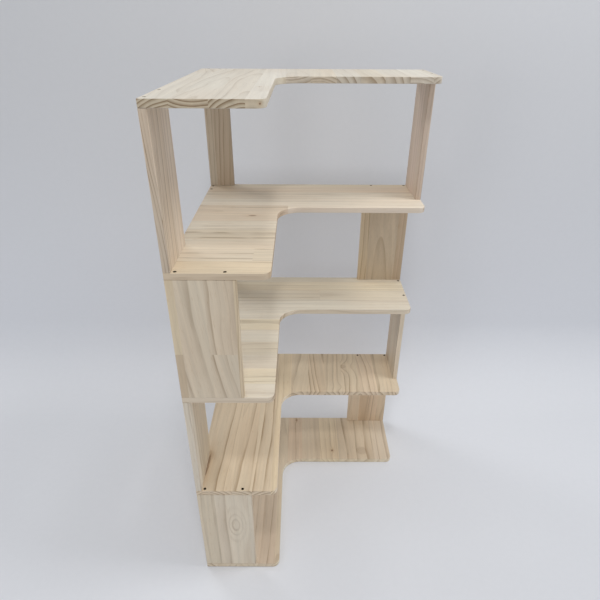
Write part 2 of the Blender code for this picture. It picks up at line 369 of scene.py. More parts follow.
            (2, 0): dict(
                heart=0.060, depth=0.020, line=0.50, turn=0.0, knot=Knot(0.1275, 0.188, 0.0026, 0.7),
            ),
        },
    },
    "bay_3_left_upright": {
        "seams": (0.024, 0.078),
        # Its light tint, and the first stave's light tone below, paint light on the wide face; the dark edge
        # tint takes its narrow face back down.
        "tint": (1.18, 1.20, 1.23),
        "edge": {0: (0.80, 0.79, 0.77)},
        "tones": (CREAM, SAND, SAND),
        "blocks": {
            (0, 0): dict(ring=0.009, line=0.60, soft=0.6, turn=0.02, wander=0.03, tone=(1.08, 1.10, 1.13)),
            (1, 0): dict(ring=0.015, line=0.65, turn=0.05, wander=0.03),
        },
    },
    "bay_3_right_upright": {
        "seams": (0.030, 0.090),
        "tint": (0.90, 0.90, 0.91),
        "edge": {0: (1.34, 1.33, 1.33)},
        "tones": (SAND, SAND, TAN),
    },
    "bay_4_left_upright": {
        "seams": (0.045, 0.076, 0.133),
        "tint": (1.07, 1.08, 1.08),
        "tones": (SAND, CREAM, CREAM, CREAM),
        "blocks": {
            (0, 0): dict(heart=0.060, depth=0.030, ring=0.024, at=0.040, line=0.30, turn=0.02),
            (1, 0): dict(heart=-0.050, depth=0.030, ring=0.030, at=0.075, line=0.45, turn=-0.02),
            (2, 0): dict(
                heart=-0.010, depth=0.045, ring=0.0135, start=-0.70, line=0.62, soft=0.9, turn=0.0,
                lean=0.0, wander=0.018, knot=Knot(0.096, 0.176, 0.013, 0.0, 0.040, 2.1),
            ),
            (3, 0): dict(line=0.30),
        },
    },
    "bay_4_right_upright": {
        "seams": (0.020, 0.043, 0.078, 0.113),
        "tint": (1.19, 1.12, 1.05),
        "tones": (CREAM, CREAM, TAN, ROSE, SAND),
    },
}


def any_block(draw, chosen):
    """A block from the pile, apart from what is chosen: its log's heart, its rings and its colour."""
    found = {
        "heart": draw.uniform(-0.045, 0.045),
        "depth": draw.choice((-1, 1)) * draw.uniform(0.030, 0.070),
        "turn": draw.uniform(-0.030, 0.030),
        "lean": draw.uniform(-0.030, 0.030),
        "ring": draw.uniform(0.009, 0.015),
        "at": None,
        "start": draw.uniform(0.0, 1.0),
        "line": draw.uniform(0.35, 0.65),
        "ends": draw.uniform(0.55, 0.90),
        "soft": 0.0,
        "broken": 0.0,
        "wander": draw.uniform(0.010, 0.028),
        "tone": draw.choice(TONES),
        "knot": NO_KNOT,
    }
    found.update(chosen)
    return Block(**found)


def tinted(colour, tint):
    return Vector([a * b for a, b in zip(colour, tint)])


class Layup:
    """The staves and blocks of one piece, on its own axes: across the staves, along them, and through."""

    def __init__(self, node, across, along, through, seed):
        draw = random.Random(seed)
        plan = PLANS.get(node, {})
        self.low, self.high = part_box(node)
        self.across, self.along, self.through = across, along, through
        self.seed = seed
        # The piece's tint and edge tints carry painted light and shade as well as the wood's tone.
        self.tint = plan.get("tint", CREAM)
        self.edge_tone_and_shade = plan.get("edge", {0: CREAM})
        self.show = min(self.low[through], self.high[through], key=lambda side: abs(side - ROOM[through]))
        self.seams = self.all_seams(draw, plan.get("seams", ()))
        self.edges = [self.low[across]] + self.seams + [self.high[across]]
        self.joints = []
        for stave in range(len(self.edges) - 1):
            planned = [self.low[along] + mark for mark in plan.get("joints", {}).get(stave, ())]
            self.joints.append(planned if plan else self.any_joints(draw))
        self.blocks = self.all_blocks(draw, plan.get("tones", ()), plan.get("blocks", {}))

    def all_seams(self, draw, planned):
        """The planned seams, then more at about a stave's width up to the high side."""
        low, high = self.low[self.across], self.high[self.across]
        seams = [low + seam for seam in planned]
        mark = seams[-1] if seams else low - draw.uniform(*STAVE_LOST) * STAVE_WIDTH
        while True:
            mark += STAVE_WIDTH * draw.uniform(*STAVE_SPREAD)
            if mark > high - LEAST_STAVE:
                return seams
            if mark > low + LEAST_STAVE:
                seams.append(mark)

    def any_joints(self, draw):
        marks = []
        mark = self.low[self.along] + draw.uniform(*BLOCK_LEFT) * BLOCK_LENGTHS[1]
        while mark < self.high[self.along] - LEAST_BLOCK:
            marks.append(mark)
            mark += draw.uniform(*BLOCK_LENGTHS)
        return marks

    def all_blocks(self, draw, tones, chosen):
        blocks = []
        for stave, joints in enumerate(self.joints):
            toned = {"tone": tones[stave]} if stave < len(tones) else {}
            places = range(len(joints) + 1)
            blocks.append([any_block(draw, toned | chosen.get((stave, place), {})) for place in places])
        return blocks

    def find(self, point):
        stave = sum(point[self.across] > seam for seam in self.seams)
        block = sum(point[self.along] > joint for joint in self.joints[stave])
        return stave, block

    def point(self, across, along, through):
        spot = Vector((0, 0, 0))
        spot[self.across] = across
        spot[self.along] = along
        spot[self.through] = through
        return spot

    def marks(self, stave, place):
        """What the shader has to know about a block."""
        block = self.blocks[stave][place]
        knot = block.knot
        low_side, low_end = self.low[self.across], self.low[self.along]
        block_end = ([low_end] + self.joints[stave])[place]
        centre = (self.edges[stave] + self.edges[stave + 1]) / 2
        middle = (self.low[self.through] + self.high[self.through]) / 2
        heart = self.point(centre + block.heart, block_end, middle + block.depth)
        grain = self.point(block.turn, 1.0, block.lean).normalized()
        start = block.start
        if block.at is not None:
            away = self.point(low_side + block.at, block_end, self.show) - heart
            start = LINE_PHASE - (away - grain * away.dot(grain)).length / block.ring
        shift = (self.seed * SEED_SHIFT + stave * STAVE_SHIFT + place * BLOCK_SHIFT) % SHIFT_SPAN
        return {
            "heart": heart,
            "grain": grain,
            "rings": Vector((block.ring, start, block.wander)),
            "lines": Vector((block.line, block.ends, shift)),
            "line_form": Vector((block.soft, block.broken, 0)),
            "knot": self.point(low_side + knot.across, low_end + knot.along, middle),
            "knot_make": Vector((knot.size, knot.dark, knot.swell)),
            "knot_form": Vector((knot.long, knot.deep, 0)),
        }

    def tone(self, stave, place, normal):
        """A block's colour with its piece's tint, and with the edge's where a face is a narrow one. Both
        tints carry painted light and shade as well as tone.
        """
        tone = self.blocks[stave][place].tone
        if abs(normal[self.through]) <= WIDE_FACE:
            tone = tinted(tone, self.edge_tone_and_shade[max(first for first in self.edge_tone_and_shade if first <= stave)])
        return tinted(tone, self.tint)


def board_layup(node):
    across, along = (Y, X) if node in BOARDS_ALONG_X else (X, Y)
    return Layup(node, across, along, Z, BOARD_SEED + BOARDS.index(node))


def upright_layup(node, seed):
    low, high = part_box(node)
    across, through = (X, Y) if high.x - low.x > high.y - low.y else (Y, X)
    return Layup(node, across, Z, through, seed)


BLOCK_MARKS = ("heart", "grain", "rings", "lines", "line_form", "knot", "knot_make", "knot_form", "tone")


def glue_up(shape, layup):
    """Marks a solid's faces with the blocks they belong to, after parting them at every seam and joint."""
    bmesh.ops.triangulate(shape, faces=shape.faces[:])
    normal = layup.point(1, 0, 0)
    for seam in layup.seams:
        part_faces(shape, shape.faces[:], layup.point(seam, 0, 0), normal)
    normal = layup.point(0, 1, 0)
    for stave, joints in enumerate(layup.joints):
        for joint in joints:
            chosen = [f for f in shape.faces if layup.find(f.calc_center_median())[0] == stave]
            part_faces(shape, chosen, layup.point(0, joint, 0), normal)
    layers = {name: shape.faces.layers.float_vector.new(name) for name in BLOCK_MARKS}
    for face in shape.faces:
        stave, place = layup.find(face.calc_center_median())
        marks = layup.marks(stave, place)
        marks["tone"] = layup.tone(stave, place, face.normal)
        for name, value in marks.items():
            face[layers[name]] = value


def part_faces(shape, faces, spot, normal):
    edges = {edge for face in faces for edge in face.edges}
    verts = {vert for face in faces for vert in face.verts}
    geom = list(verts) + list(edges) + list(faces)
    bmesh.ops.bisect_plane(shape, geom=geom, dist=MERGE, plane_co=spot, plane_no=normal)


# Shader maths as Python expressions
class Wire:
    """A shader's socket. Sums on it add their Math nodes."""

    def __init__(self, shader, socket):
        self.shader = shader
        self.socket = socket

    def sum(self, operation, *values):
        return self.shader.node("Math", {"operation": operation}, dict(enumerate(values)))

    def __add__(self, other):
        return self.sum("ADD", self, other)

    def __sub__(self, other):
        return self.sum("SUBTRACT", self, other)

    def __rsub__(self, other):
        return self.sum("SUBTRACT", other, self)

    def __mul__(self, other):
        return self.sum("MULTIPLY", self, other)

    def __truediv__(self, other):
        return self.sum("DIVIDE", self, other)

    def __rtruediv__(self, other):
        return self.sum("DIVIDE", other, self)

    def __abs__(self):
        return self.sum("ABSOLUTE", self)

    __radd__ = __add__
    __rmul__ = __mul__

    def exp(self):
        return self.sum("EXPONENT", self)

    def part(self):
        return self.sum("FRACT", self)

    def whole(self):
        return self.sum("FLOOR", self)

    def at_least(self, other):
        return self.sum("MAXIMUM", self, other)

    def is_number(self, number):
        return self.sum("COMPARE", self, number, 0.5)


def between(low, high, factor):
    """Low at a factor of 0, high at 1."""
    return low + (high - low) * factor


def rgba(colour):
    return (*colour, 1.0)


class Shader:
    """A material under construction."""

    def __init__(self, name):
        self.material = bpy.data.materials.new(name)
        self.material.use_nodes = True
        self.tree = self.material.node_tree
        self.tree.nodes.clear()

    def node(self, kind, settings=None, sockets=None, out=0):
        """Adds a node: its settings first, then the values or links of its sockets. Gives one output."""
        made = self.tree.nodes.new("ShaderNode" + kind)
        for name, value in (settings or {}).items():
            setattr(made, name, value)
        for name, value in (sockets or {}).items():
            if isinstance(value, Wire):
                self.tree.links.new(value.socket, made.inputs[name])
            else:
                made.inputs[name].default_value = value
        return Wire(self, made.outputs[out]) if made.outputs else None

    def mark(self, name):
        return self.node("Attribute", {"attribute_name": name}, out="Vector")

    def split(self, vector):
        parts = self.node("SeparateXYZ", sockets={0: vector}).socket.node.outputs
        return [Wire(self, part) for part in parts]

    def vector(self, operation, *values, out=0):
        return self.node("VectorMath", {"operation": operation}, dict(enumerate(values)), out)

    def scaled(self, vector, factor):
        return self.node("VectorMath", {"operation": "SCALE"}, {0: vector, "Scale": factor})

    def dot(self, one, other):
        return self.vector("DOT_PRODUCT", one, other, out="Value")

    def length(self, vector):
        return self.vector("LENGTH", vector, out="Value")

    def across(self, vector, axis):
        """What is left of a vector without its part along an axis of length 1."""
        return self.vector("SUBTRACT", vector, self.scaled(axis, self.dot(vector, axis)))

    def shortened(self, vector, axis, factor):
        """A vector with its part along an axis of length 1 divided by a factor."""
        lost = self.dot(vector, axis) * (1 - 1 / factor)
        return self.vector("SUBTRACT", vector, self.scaled(axis, lost))

    def noise(self, place, scale, detail=2.0, roughness=0.5, out="Fac"):
        sockets = {"Vector": place, "Scale": scale, "Detail": detail, "Roughness": roughness}
        return self.node("TexNoise", {}, sockets, out)

    def ease(self, value, low, high):
        """0 below low, 1 above high, and a soft change between."""
        sockets = {"Value": value, "From Min": low, "From Max": high}
        return self.node("MapRange", {"interpolation_type": "SMOOTHSTEP"}, sockets)

    def mix(self, factor, one, other, blend="MIX"):
        settings = {"data_type": "RGBA", "blend_type": blend}
        return self.node("Mix", settings, {0: factor, 6: one, 7: other}, 2)

    def tinted(self, factor, colour, tint):
        """A colour multiplied by a tint, as far as the factor says."""
        return self.mix(factor, colour, rgba(tint), "MULTIPLY")

    def finish(self, surface):
        self.node("OutputMaterial", sockets={"Surface": surface})
        return self.material


# Pine: colours, the rest of them tints of the first, apart from the knot's heart
PINE = (0.690, 0.605, 0.485)
LATEWOOD = (0.45, 0.36, 0.27)
BLUSH = (0.95, 0.88, 0.83)
END_GRAIN = (0.90, 0.86, 0.80)
RESIN = (0.80, 0.70, 0.58)
KNOT_HALO = (0.82, 0.71, 0.61)
KNOT_HEART = (0.20, 0.115, 0.065)

# Patterns that follow the grain: how often they change in a metre, across it and along it
SLOW_DRIFT = (7.0, 2.6)
QUICK_DRIFT = (24.0, 9.0)
FADES = (26.0, 8.0)
BREAKS = (30.0, 13.0)
CLOUDS = (9.0, 3.0)
STREAKS = (95.0, 2.2)
FIBRES = (900.0, 22.0)
DUCTS = (700.0, 45.0)
APART = (1.0, 1.7, 2.3)  # the way in which the blocks' patterns are set apart
NOISE_MEAN = 0.5
END_FACING = (0.55, 0.90)  # from a side of the grain to its end

# Rings
QUICK_SHARE = 0.22  # of the slow drift
UNEVEN_RATE = 0.45
UNEVEN_REACH = 0.8  # ring widths
GENTLE_RISE = 0.25  # where in a ring its line starts to rise, gently and steeply
STEEP_RISE = 0.72
GENTLE_SHARE = (0.30, 0.75)  # on faces and on ends
BAND = (0.35, 0.75)  # where a soft band starts and is darkest
BAND_STRENGTH = 0.8
FADE_EDGES = (0.30, 0.62)
FADE_STRENGTHS = (0.45, 1.05)
BREAK_EDGES = (0.42, 0.60)
BREAK_STRENGTH = 1.15
FACE_LINES = (0.25, 1.0)  # the weakest and the strongest ring
END_LINES = (0.7, 1.0)

# Knots, by distance from their middle in their own radii
KNOT_RAG = 0.25
KNOT_RAG_SCALE = 160.0
LIFT_FADE = -0.22
HALO_FADE = -0.24
HALO_STRENGTH = 0.8
KNOT_EDGES = (0.62, 1.05)

# Surface
CLOUD_EDGES = (0.35, 0.75)
CLOUD_STRENGTH = 0.5
DUCT_EDGES = (0.70, 0.78)
DUCT_STRENGTH = 0.35
STREAK_SHADE = 0.36
FIBRE_SHADE = 0.16
PINE_ROUGHNESS = 0.56
STREAK_ROUGHNESS = 0.16
LINE_GLOSS = 0.06
FIBRE_HEIGHT = 0.5
STREAK_HEIGHT = 0.5
LINE_DIP = 0.4
BUMP_STRENGTH = 0.25
BUMP_HEIGHT = 0.0006


class PineShader(Shader):
    """Solid pine: growth rings round each block's heart line, so that faces, edges and ends agree."""

    def __init__(self, name):
        super().__init__(name)
        self.place = self.node("TexCoord", out="Object")
        self.heart = self.mark("heart")
        self.grain = self.mark("grain")
        self.face_line, self.end_line, self.shift = self.split(self.mark("lines"))
        self.knot_size, self.knot_dark, self.knot_swell = self.split(self.mark("knot_make"))
        # The place in the log: along its heart line and out from it
        away = self.vector("SUBTRACT", self.place, self.heart)
        self.along = self.dot(away, self.grain)
        self.out = self.across(away, self.grain)
        self.apart = self.scaled(APART, self.shift)
        normal = self.node("TexCoord", out="Normal")
        self.ends = self.ease(abs(self.dot(normal, self.grain)), *END_FACING)

    def pattern(self, rates, detail=1.0, roughness=0.5, out="Fac"):
        """Noise that is drawn out along the grain."""
        across, along = rates
        drawn = self.scaled(self.grain, self.along * along)
        drawn = self.vector("ADD", self.scaled(self.out, across), drawn)
        return self.noise(self.vector("ADD", drawn, self.apart), 1.0, detail, roughness, out)

    def drift(self, rates, reach):
        moved = self.pattern(rates, out="Color")
        return self.scaled(self.vector("SUBTRACT", moved, (NOISE_MEAN,) * 3), reach)

    def knot_distance(self):
        """Distance from the branch that runs from the heart through the knot, in the knot's radii."""
        knot = self.mark("knot")
        long, deep, _ = self.split(self.mark("knot_form"))
        branch = self.vector("NORMALIZE", self.across(self.vector("SUBTRACT", knot, self.heart), self.grain))
        beside = self.shortened(self.vector("SUBTRACT", self.place, knot), branch, deep)
        beside = self.shortened(beside, self.grain, long)
        ragged = self.noise(self.place, KNOT_RAG_SCALE) - NOISE_MEAN
        return self.length(beside) / self.knot_size + ragged * KNOT_RAG

    def uneven(self, count):
        sockets = {"W": count * UNEVEN_RATE + self.shift, "Scale": 1.0, "Detail": 0.0}
        return self.node("TexNoise", {"noise_dimensions": "1D"}, sockets)

    def ring_count(self, near_knot):
        """How many rings lie inside a place. They wander, differ in width and are lifted round a knot."""
        ring, start, wander = self.split(self.mark("rings"))
        wandering = self.vector("ADD", self.out, self.drift(SLOW_DRIFT, wander))
        wandering = self.vector("ADD", wandering, self.drift(QUICK_DRIFT, wander * QUICK_SHARE))
        lift = (near_knot * near_knot * LIFT_FADE).exp() * self.knot_swell
        count = (self.length(wandering) - lift) / ring + start
        return count + (self.uneven(count) - self.uneven(LINE_PHASE)) * UNEVEN_REACH

    def late_wood(self, phase, softness):
        """How dark a ring is at a phase of it: a line that rises and ends sharply, or a soft band."""
        gentle = self.ease(phase, GENTLE_RISE, LINE_PHASE)
        steep = self.ease(phase, STEEP_RISE, LINE_PHASE)
        line = between(steep, gentle, between(*GENTLE_SHARE, self.ends))
        line = line * (1 - self.ease(phase, LINE_PHASE, 1.0))
        band = self.ease(phase, *BAND) * (1 - self.ease(phase, BAND[1], 1.0))
        return between(line, band * BAND_STRENGTH, softness)

    def ring_lines(self, near_knot):
        """Strength of the dark lines. Each ring has its own, and that of a placed line, ring 0, is full."""
        softness, broken, _ = self.split(self.mark("line_form"))
        count = self.ring_count(near_knot)
        number = count.whole()
        each = self.node("TexWhiteNoise", {"noise_dimensions": "1D"}, {"W": number + self.shift}, "Value")
        each = each.at_least(number.is_number(0))
        fading = between(*FADE_STRENGTHS, self.ease(self.pattern(FADES), *FADE_EDGES))
        patches = self.ease(self.pattern(BREAKS), *BREAK_EDGES) * BREAK_STRENGTH
        on_face = self.face_line * between(*FACE_LINES, each) * between(fading, patches, broken)
        on_end = self.end_line * between(*END_LINES, each)
        return self.late_wood(count.part(), softness) * between(on_face, on_end, self.ends)


def pine():
    wood = PineShader("finger-jointed pine")
    near_knot = wood.knot_distance()
    lines = wood.ring_lines(near_knot)
    streak = wood.pattern(STREAKS, detail=3.0, roughness=0.55)
    fibre = wood.pattern(FIBRES, detail=2.0)
    cloud = wood.ease(wood.pattern(CLOUDS), *CLOUD_EDGES)
    duct = wood.ease(wood.pattern(DUCTS, detail=0.0), *DUCT_EDGES) * (1 - wood.ends)

    # The tone mark is each block's tone times its piece's tints, with their painted light and shade.
    colour = wood.mix(1.0, rgba(PINE), wood.mark("tone"), "MULTIPLY")
    colour = wood.tinted(cloud * CLOUD_STRENGTH, colour, BLUSH)
    colour = wood.tinted(lines, colour, LATEWOOD)
    bright = (streak - NOISE_MEAN) * STREAK_SHADE + (fibre - NOISE_MEAN) * FIBRE_SHADE + 1
    colour = wood.node("HueSaturation", {}, {"Value": bright, "Color": colour})
    colour = wood.tinted(duct * DUCT_STRENGTH, colour, RESIN)
    colour = wood.tinted(wood.ends, colour, END_GRAIN)
    halo = (near_knot * near_knot * HALO_FADE).exp() * wood.knot_dark
    colour = wood.tinted(halo * HALO_STRENGTH, colour, KNOT_HALO)
    core = (1 - wood.ease(near_knot, *KNOT_EDGES)) * wood.knot_dark
    colour = wood.mix(core, colour, rgba(KNOT_HEART))

    rough = PINE_ROUGHNESS + (streak - NOISE_MEAN) * STREAK_ROUGHNESS - lines * LINE_GLOSS
    height = fibre * FIBRE_HEIGHT + streak * STREAK_HEIGHT - lines * LINE_DIP
    bump = wood.node("Bump", {}, {"Strength": BUMP_STRENGTH, "Distance": BUMP_HEIGHT, "Height": height})
    sockets = {"Base Color": colour, "Roughness": rough, "Normal": bump}
    return wood.finish(wood.node("BsdfPrincipled", {}, sockets))


# Screw steel
# Near black and with little shine: partly the screws' own black finish, partly painted shade of the holes
# they sit in.
STEEL_DARK = (0.010, 0.007, 0.003)
STEEL_WORN = (0.032, 0.022, 0.012)
STEEL_PATCHES = 900.0
STEEL_ROUGHNESS = (0.60, 0.80)
STEEL_SHINE = 0.06


def screw_steel():
    """Near-black steel, dull and a little patchy: partly a blackened finish, partly painted shade of the
    holes.
    """
    steel = Shader("black screw steel with painted hole shade")
    patch = steel.noise(steel.node("TexCoord", out="Object"), STEEL_PATCHES, detail=3.0)
    sockets = {
        "Base Color": steel.mix(patch, rgba(STEEL_DARK), rgba(STEEL_WORN)),
        "Roughness": between(*STEEL_ROUGHNESS, patch),
        "Specular IOR Level": STEEL_SHINE,
    }
    return steel.finish(steel.node("BsdfPrincipled", {}, sockets))


# Meshes
def turned(profile):
    """A profile of (radius, height) pairs, closed on the axis, spun round Z."""
    shape = bmesh.new()
    ring = [shape.verts.new((radius, 0, height)) for radius, height in profile]
    edges = [shape.edges.new(pair) for pair in zip(ring, ring[1:])]
    bmesh.ops.spin(
        shape, geom=ring + edges, axis=(0, 0, 1), cent=(0, 0, 0), angle=math.tau, steps=TURNED_SIDES,
        use_merge=True,
    )
    bmesh.ops.remove_doubles(shape, verts=shape.verts[:], dist=MERGE)
    bmesh.ops.recalc_face_normals(shape, faces=shape.faces[:])
    return shape


def mesh_of(name, shape):
    mesh = bpy.data.meshes.new(name)
    shape.to_mesh(mesh)
    shape.free()
    return mesh


def new_object(name, mesh):
    made = bpy.data.objects.new(name, mesh)
    bpy.context.scene.collection.objects.link(made)
    return made


def combined(name, mesh, tool, operation):
    """The mesh with the tool's solid taken away or added."""
    body = new_object(name, mesh)
    other = new_object(name + " tool", tool)
    change = body.modifiers.new("change", "BOOLEAN")
    change.operation = operation
    change.solver = "EXACT"
    change.object = other
    graph = bpy.context.evaluated_depsgraph_get()
    made = bpy.data.meshes.new_from_object(body.evaluated_get(graph))
    for spent in (body, other):
        bpy.data.objects.remove(spent)
    return made


def shade(shape):
    """Flat faces stay flat, and rounded ones are smooth."""
    for face in shape.faces:
        face.smooth = max(abs(part) for part in face.normal) < FLAT


def raised(corners, low, high):
    """A flat outline raised from one height to another."""
    shape = bmesh.new()
    base = shape.faces.new([shape.verts.new((x, y, low)) for x, y in corners])
    lifted = bmesh.ops.extrude_face_region(shape, geom=[base])["geom"]
    top = [part for part in lifted if isinstance(part, bmesh.types.BMVert)]
    bmesh.ops.translate(shape, verts=top, vec=(0, 0, high - low))
    bmesh.ops.recalc_face_normals(shape, faces=shape.faces[:])
    return shape


def rounded(shape, edges, radius, steps):
    bmesh.ops.bevel(
        shape, geom=edges, offset=radius, affect="EDGES", segments=steps, profile=0.5, material=-1
    )


def upright_edges(shape, spots):
    """The vertical edges that stand at these places on plan."""
    def stands(edge):
        one, other = edge.verts[0].co, edge.verts[1].co
        if abs(one.z - other.z) < SAME_PLACE:
            return False
        return any((one.xy - Vector(spot)).length < SAME_PLACE for spot in spots)
    return [edge for edge in shape.edges if stands(edge)]


def board_solid(low, high):
    """The L: square against the walls, round towards the room, its edges eased."""
    inner_x = low.x + ARM_WIDTH
    inner_y = high.y - ARM_WIDTH
    left_tip, crook, right_tip = (inner_x, low.y), (inner_x, inner_y), (high.x, inner_y)
    corners = ((low.x, high.y), (low.x, low.y), left_tip, crook, right_tip, (high.x, high.y))
    shape = raised(corners, low.z, high.z)
    rounded(shape, upright_edges(shape, [left_tip, right_tip]), TIP_RADIUS, ARC_STEPS)
    rounded(shape, upright_edges(shape, [crook]), CROOK_RADIUS, ARC_STEPS)
    sharp = [edge for edge in shape.edges if edge.calc_face_angle() > SHARP]
    rounded(shape, sharp, EASE, EASE_STEPS)
    return shape


def upright_solid(low, high):
    corners = ((low.x, low.y), (high.x, low.y), (high.x, high.y), (low.x, high.y))
    shape = raised(corners, low.z, high.z)
    rounded(shape, upright_edges(shape, corners), EASE, EASE_STEPS)
    return shape


# Screws. The way is -1 for one that points down and 1 for one that points up
Screw = namedtuple("Screw", "name node x y face way")


def shelf_screws():
    """Every screw: its CAD node if it has one, its place on plan, the face it enters and its way."""
    for bay in BAYS:
        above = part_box(BOARDS[bay - 1])[1].z
        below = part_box(BOARDS[bay])[0].z
        for side in SIDES:
            for letter in "ab":
                node = f"bay_{bay}_{side}_top_screw_{letter}"
                low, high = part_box(node)
                x, y = (low.x + high.x) / 2, (low.y + high.y) / 2
                yield Screw(f"bay_{bay}_{side}_upper_screw_{letter}", node, x, y, above, -1)
                foot = f"bay_{bay}_{side}_foot_screw_{letter}"
                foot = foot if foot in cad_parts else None
                yield Screw(f"bay_{bay}_{side}_lower_screw_{letter}", foot, x, y, below, 1)


SCREWS = list(shelf_screws())
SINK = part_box("top_board")[1].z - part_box("bay_1_left_top_screw_a")[1].z
SCREW_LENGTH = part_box("bay_1_left_top_screw_a")[1].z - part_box("bay_1_left_top_screw_a")[0].z
CONE_TOP = -SINK - HEAD_RIM
CONE_FOOT = CONE_TOP - (HEAD_RADIUS - SHANK_RADIUS)
SCREW_TIP = -SINK - SCREW_LENGTH
THREAD_FOOT = SCREW_TIP + POINT_LENGTH


def screw_place(screw):
    turn = Matrix.Identity(4) if screw.way < 0 else Matrix.Rotation(math.pi, 4, "X")
    return Matrix.Translation((screw.x, screw.y, screw.face)) @ turn


def hole_profile():
    """A drilled and sunk hole with an eased mouth, down into the end of an upright."""
    seat = HEAD_RADIUS + CLEARANCE
    pilot = SHANK_RADIUS + CLEARANCE
    return (
        (0, OVERCUT),
        (seat + MOUTH_CHAMFER, OVERCUT),
        (seat + MOUTH_CHAMFER, 0),
        (seat, -MOUTH_CHAMFER),
        (seat, CONE_TOP),
        (pilot, CONE_FOOT),
        (pilot, THREAD_FOOT),
        (0, SCREW_TIP - CLEARANCE),
    )


def drills(low, high):
    """One mesh of all the holes that reach into a box."""
    tools = bmesh.new()
    for screw in SCREWS:
        inside = low.x < screw.x < high.x and low.y < screw.y < high.y
        ends = sorted((screw.face, screw.face + screw.way * (SINK + SCREW_LENGTH)))
        if inside and ends[0] < high.z - OVERCUT and ends[1] > low.z + OVERCUT:
            hole = turned(hole_profile())
            bmesh.ops.transform(hole, matrix=screw_place(screw), verts=hole.verts[:])
            made = mesh_of("hole", hole)
            tools.from_mesh(made)
            bpy.data.meshes.remove(made)
    return mesh_of("holes", tools)


def screw_body():
    """A countersunk head on a shank that steps down to the thread's core, its board's face at height 0."""
    return turned((
        (0, -SINK),
        (HEAD_RADIUS - RIM_CHAMFER, -SINK),
        (HEAD_RADIUS, -SINK - RIM_CHAMFER),
        (HEAD_RADIUS, CONE_TOP),
        (SHANK_RADIUS, CONE_FOOT),
        (SHANK_RADIUS - SHANK_TAPER, THREAD_FOOT + THREAD_PITCH * THREAD_TURNS),
        (CORE_RADIUS, THREAD_FOOT + THREAD_PITCH * (THREAD_TURNS - SHANK_STEP)),
        (CORE_RADIUS, THREAD_FOOT),
        (0, SCREW_TIP),
    ))


def screw_thread():
    """One ridge wound round the core."""
    shape = bmesh.new()
    top = THREAD_FOOT + THREAD_PITCH * (THREAD_TURNS - THREAD_LEAD)
    root = CORE_RADIUS - THREAD_ROOT
    flank = THREAD_PITCH * THREAD_FLANK
    corners = ((root, 0, top + flank), (SHANK_RADIUS, 0, top), (root, 0, top - flank))
    ridge = [shape.verts.new(corner) for corner in corners]
    edges = [shape.edges.new((ridge[i - 1], ridge[i])) for i in range(len(ridge))]
    bmesh.ops.spin(
        shape, geom=ridge + edges, axis=(0, 0, 1), cent=(0, 0, 0), angle=-math.tau * THREAD_TURNS,
        steps=THREAD_TURNS * THREAD_STEPS, dvec=(0, 0, -THREAD_PITCH / THREAD_STEPS),
    )
    rims = [edge for edge in shape.edges if edge.is_boundary]
    bmesh.ops.holes_fill(shape, edges=rims, sides=len(ridge))
    bmesh.ops.recalc_face_normals(shape, faces=shape.faces[:])
    return shape


def cross_recess():
    """The driver's cross, narrower at its foot."""
    arm, half = RECESS_LENGTH / 2, RECESS_WIDTH / 2
    quarter = [Vector(corner) for corner in ((arm, -half), (arm, half), (half, half))]
    turns = [Matrix.Rotation(math.pi / 2 * step, 2) for step in range(4)]
    shape = raised([turn @ corner for turn in turns for corner in quarter], -SINK - RECESS_DEPTH, OVERCUT)
    foot = [vert for vert in shape.verts if vert.co.z < -SINK]
    bmesh.ops.scale(shape, verts=foot, vec=(RECESS_TAPER, RECESS_TAPER, 1))
    return shape


def screw_mesh():
    body = combined("screw", mesh_of("screw", screw_body()), mesh_of("cross", cross_recess()), "DIFFERENCE")
    return combined("screw", body, mesh_of("thread", screw_thread()), "UNION")


# Pieces
def dress(piece, material, slot, *nodes):
    piece.data.materials.append(material)
    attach(piece, BODY)
    if nodes:
        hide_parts(*nodes)


def wooden(name, node, solid, layup, material, slot):
    """Drills a solid, marks its blocks and puts it in place of its node."""
    low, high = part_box(node)
    drilled = combined(name, mesh_of(name, solid(low, high)), drills(low, high), "DIFFERENCE")
    shape = bmesh.new()
    shape.from_mesh(drilled)
    bpy.data.meshes.remove(drilled)
    glue_up(shape, layup)
    shade(shape)
    piece = new_object(name, mesh_of(name, shape))
    piece.data.materials.clear()
    dress(piece, material, slot, node)


def make_boards(material):
    for node in BOARDS:
        wooden(node.replace("board", "shelf"), node, board_solid, board_layup(node), material, "pine_board")


def make_uprights(material):
    for bay in BAYS:
        for number, side in enumerate(SIDES):
            node = f"bay_{bay}_{side}_upright"
            layup = upright_layup(node, UPRIGHT_SEED + bay * len(SIDES) + number)
            wooden(node.replace("upright", "post"), node, upright_solid, layup, material, "pine_upright")


def make_screws(material):
    pattern = screw_mesh()
    pattern.materials.clear()
    pattern.shade_smooth()
    pattern.set_sharp_from_angle(angle=SCREW_SHARP)
    for number, screw in enumerate(SCREWS):
        mesh = pattern.copy()
        spun = Matrix.Rotation(math.radians(SPIN_STEP * number % CROSS_TURN), 4, "Z")
        mesh.transform(screw_place(screw) @ spun)
        piece = new_object(screw.name, mesh)
        dress(piece, material, "screw_steel", *([screw.node] if screw.node else []))
    bpy.data.meshes.remove(pattern)


# Studio
WALL_Y = 0.60
WALL_HEIGHT = 9.0
COVE_RADIUS = 0.28
COVE_SHARE = 0.999  # just short of the paper's front edge
COVE_STEPS = 24
STUDIO_HALF = 14.0
FLOOR_DROP = 0.0006
FLOOR_PAPER = (0.785, 0.803, 0.850)
# The wall's colour is darker than the floor's: painted shade, faded in up the wall between the paper
# heights.
PAINTED_SHADE_WALL_PAPER = (0.665, 0.675, 0.700)
PAPER_HEIGHTS = (0.10, 1.50)
TOOTH_TINT = (0.97, 0.97, 0.97)
TOOTH_SCALE = 60.0


